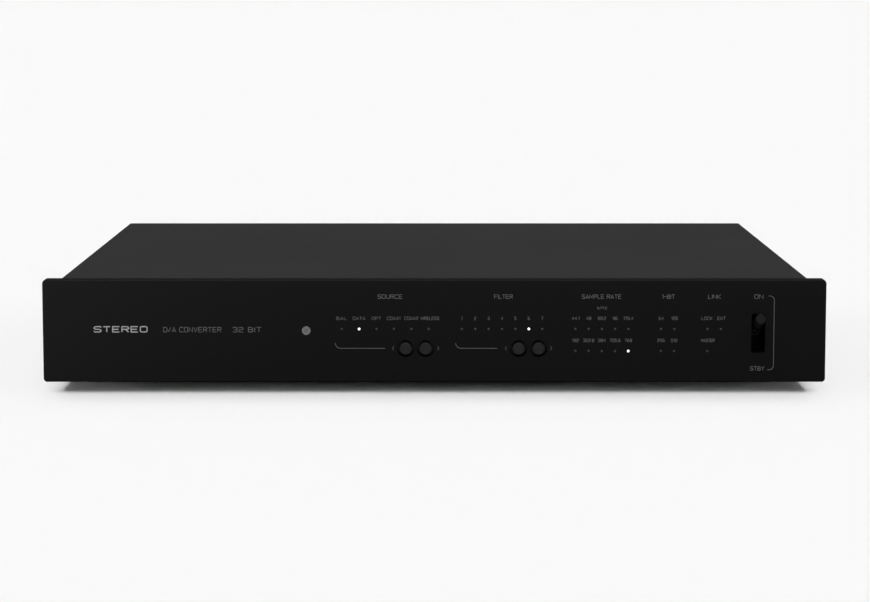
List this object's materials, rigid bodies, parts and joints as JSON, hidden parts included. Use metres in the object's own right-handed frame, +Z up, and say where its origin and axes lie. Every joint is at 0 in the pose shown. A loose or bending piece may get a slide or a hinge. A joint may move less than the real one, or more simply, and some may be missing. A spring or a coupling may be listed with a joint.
{
  "type": "desktop digital-to-analogue converter",
  "caption": "Low full-width black hi-fi converter: thick face plate with indicator dots, round buttons and a standby lever; folded steel case and rear sockets.",
  "frame": {"origin": "on the shelf, under the middle of the whole unit, lever and sockets included", "axes": "+X to the viewer's right along the face plate, +Y from the face plate to the back, +Z up"},
  "size_m": [0.45, 0.3904, 0.0651],
  "materials": {
    "face_plate": "black anodised, fine satin grain",
    "case_paint": "black powder coat, fine texture",
    "plated_steel": "zinc plated",
    "black_screw": "black zinc",
    "bright_screw": "nickel plated",
    "foot_plastic": "moulded, matt",
    "foot_rubber": "matt",
    "button_metal": "black anodised, fine satin",
    "lever_metal": "black anodised, satin",
    "light_guide": "smoked clear acrylic",
    "lamp_body": "moulded",
    "infrared_plastic": "smoked, polished",
    "board_green": "solder resist over glass fibre",
    "chip_plastic": "moulded, matt",
    "can_sleeve": "printed sleeve",
    "relay_plastic": "moulded",
    "heatsink_black": "black anodised",
    "coil_tape": "wound polyester tape",
    "ribbon_grey": "moulded",
    "lead_sleeve": "smooth insulation",
    "socket_plastic": "moulded, matt",
    "rocker_plastic": "moulded, satin",
    "socket_gold": "gold plated, bright",
    "socket_shell": "nickel plated"
  },
  "bodies": {
    "case": {"front_panel": "face_plate", "front_subframe": "plated_steel", "base_tray": "case_paint", "top_cover": "case_paint", "rear_panel": "case_paint", "foot_front_left": "foot_plastic", "foot_front_right": "foot_plastic", "foot_rear_left": "foot_plastic", "foot_rear_right": "foot_plastic", "foot_pads": "foot_rubber", "case_screws": "black_screw", "front_panel_screws": "bright_screw", "connector_screws": "black_screw", "board_screws": "bright_screw", "foot_screws": "bright_screw", "board_standoffs": "plated_steel", "tactile_switches": "chip_plastic", "source_light_guide": "light_guide", "filter_light_guide": "light_guide", "rate_light_guide": "light_guide", "format_light_guide": "light_guide", "lock_light_guide": "light_guide", "indicator_lamps": "lamp_body", "remote_window": "infrared_plastic", "remote_receiver": "chip_plastic", "display_board": "board_green", "switch_bracket": "plated_steel", "standby_switch": "plated_steel", "switch_nut": "bright_screw", "main_board": "board_green", "converter_chips": "chip_plastic", "signal_capacitors": "can_sleeve", "muting_relays": "relay_plastic", "power_board": "board_green", "reservoir_capacitors": "can_sleeve", "regulator_heatsink": "heatsink_black", "toroidal_transformer": "coil_tape", "transformer_pad": "foot_rubber", "transformer_washer": "plated_steel", "transformer_bolt": "plated_steel", "mains_inlet": "socket_plastic", "mains_switch": "socket_plastic", "antenna_socket": "socket_gold", "computer_socket": "socket_shell", "optical_socket": "socket_plastic", "phono_sockets": "socket_gold", "balanced_output_sockets": "socket_plastic", "balanced_input_socket": "socket_plastic", "ribbon_cable": "ribbon_grey", "internal_leads": "lead_sleeve"},
    "source_previous_button": {"source_previous_button": "button_metal"},
    "source_next_button": {"source_next_button": "button_metal"},
    "filter_previous_button": {"filter_previous_button": "button_metal"},
    "filter_next_button": {"filter_next_button": "button_metal"},
    "standby_lever": {"switch_lever": "lever_metal", "lever_grip": "lever_metal"},
    "fuse_drawer": {"fuse_drawer": "socket_plastic"},
    "mains_rocker": {"mains_rocker": "rocker_plastic"},
    "optical_shutter": {"optical_shutter": "socket_plastic"},
    "input_latch": {"input_latch": "socket_shell"}
  },
  "joints": [
    {"name": "source_previous_button_press", "type": "slide", "parent": "case", "child": "source_previous_button", "axis": [0, 1, 0], "range_m": [0, 0.0008], "stiffness_N_per_m": 400, "springref_m": -0.0005},
    {"name": "source_next_button_press", "type": "slide", "parent": "case", "child": "source_next_button", "axis": [0, 1, 0], "range_m": [0, 0.0008], "stiffness_N_per_m": 400, "springref_m": -0.0005},
    {"name": "filter_previous_button_press", "type": "slide", "parent": "case", "child": "filter_previous_button", "axis": [0, 1, 0], "range_m": [0, 0.0008], "stiffness_N_per_m": 400, "springref_m": -0.0005},
    {"name": "filter_next_button_press", "type": "slide", "parent": "case", "child": "filter_next_button", "axis": [0, 1, 0], "range_m": [0, 0.0008], "stiffness_N_per_m": 400, "springref_m": -0.0005},
    {"name": "standby_lever_flick", "type": "hinge", "parent": "case", "child": "standby_lever", "pos_m": [0.1862, -0.1615, 0.034], "axis": [1, 0, 0], "range_deg": [0, 35]},
    {"name": "fuse_drawer_slide", "type": "slide", "parent": "case", "child": "fuse_drawer", "axis": [0, 1, 0], "range_m": [0, 0.018]},
    {"name": "mains_rocker_tilt", "type": "hinge", "parent": "case", "child": "mains_rocker", "pos_m": [-0.129, 0.1782, 0.032], "axis": [1, 0, 0], "range_deg": [-20, 0]},
    {"name": "optical_shutter_swing", "type": "hinge", "parent": "case", "child": "optical_shutter", "pos_m": [-0.046, 0.1832, 0.0353], "axis": [1, 0, 0], "range_deg": [-75, 0], "stiffness_Nm_per_rad": 0.0005, "springref_deg": 20.05},
    {"name": "input_latch_press", "type": "slide", "parent": "case", "child": "input_latch", "axis": [0, -1, 0], "range_m": [0, 0.0015], "stiffness_N_per_m": 400, "springref_m": -0.0005}
  ]
}
